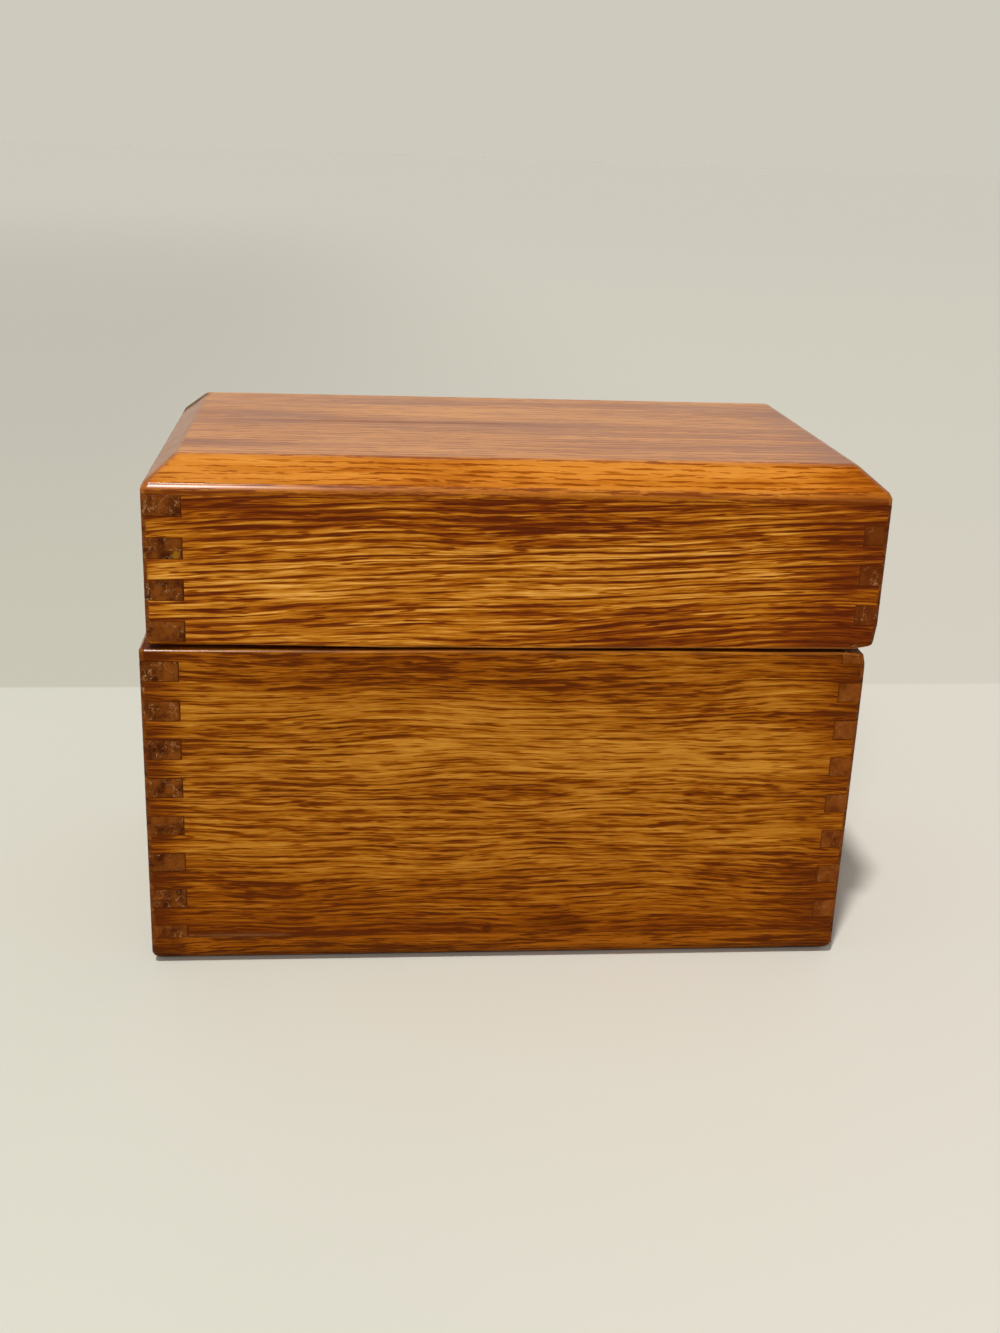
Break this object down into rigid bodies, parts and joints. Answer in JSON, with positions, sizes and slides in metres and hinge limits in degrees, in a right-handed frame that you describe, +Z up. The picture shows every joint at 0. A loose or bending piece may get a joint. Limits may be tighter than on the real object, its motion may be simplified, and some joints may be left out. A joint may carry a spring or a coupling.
{
  "type": "recipe card box",
  "caption": "Small finger-jointed hardwood box for 5 x 3 inch recipe cards, with a hinged, bevel-topped lid.",
  "frame": {"origin": "centre of the base's flat underside", "axes": "+X to the right as seen from the front, +Y to the back where the hinges are, +Z up"},
  "size_m": [0.154, 0.0905, 0.1118],
  "materials": {
    "oak_wall": "honey-brown oak under gloss varnish, dark end grain at the finger ends",
    "oak_board": "honey-brown oak under gloss varnish",
    "hinge_brass": "aged plain brass",
    "pin_brass": "aged plain brass",
    "screw_brass": "aged slotted brass"
  },
  "bodies": {
    "base": {"base_front": "oak_wall", "base_back": "oak_wall", "base_left": "oak_wall", "base_right": "oak_wall", "base_bottom": "oak_board", "left_hinge_base_leaf": "hinge_brass", "left_hinge_pin": "pin_brass", "left_hinge_base_screws": "screw_brass", "right_hinge_base_leaf": "hinge_brass", "right_hinge_pin": "pin_brass", "right_hinge_base_screws": "screw_brass"},
    "lid": {"lid_front": "oak_wall", "lid_back": "oak_wall", "lid_left": "oak_wall", "lid_right": "oak_wall", "lid_top": "oak_board", "left_hinge_lid_leaf": "hinge_brass", "left_hinge_lid_screws": "screw_brass", "right_hinge_lid_leaf": "hinge_brass", "right_hinge_lid_screws": "screw_brass"}
  },
  "joints": [
    {"name": "lid_hinge", "type": "hinge", "parent": "base", "child": "lid", "pos_m": [0, 0.04545, 0.07295], "axis": [-1, 0, 0], "range_deg": [0, 180]}
  ]
}
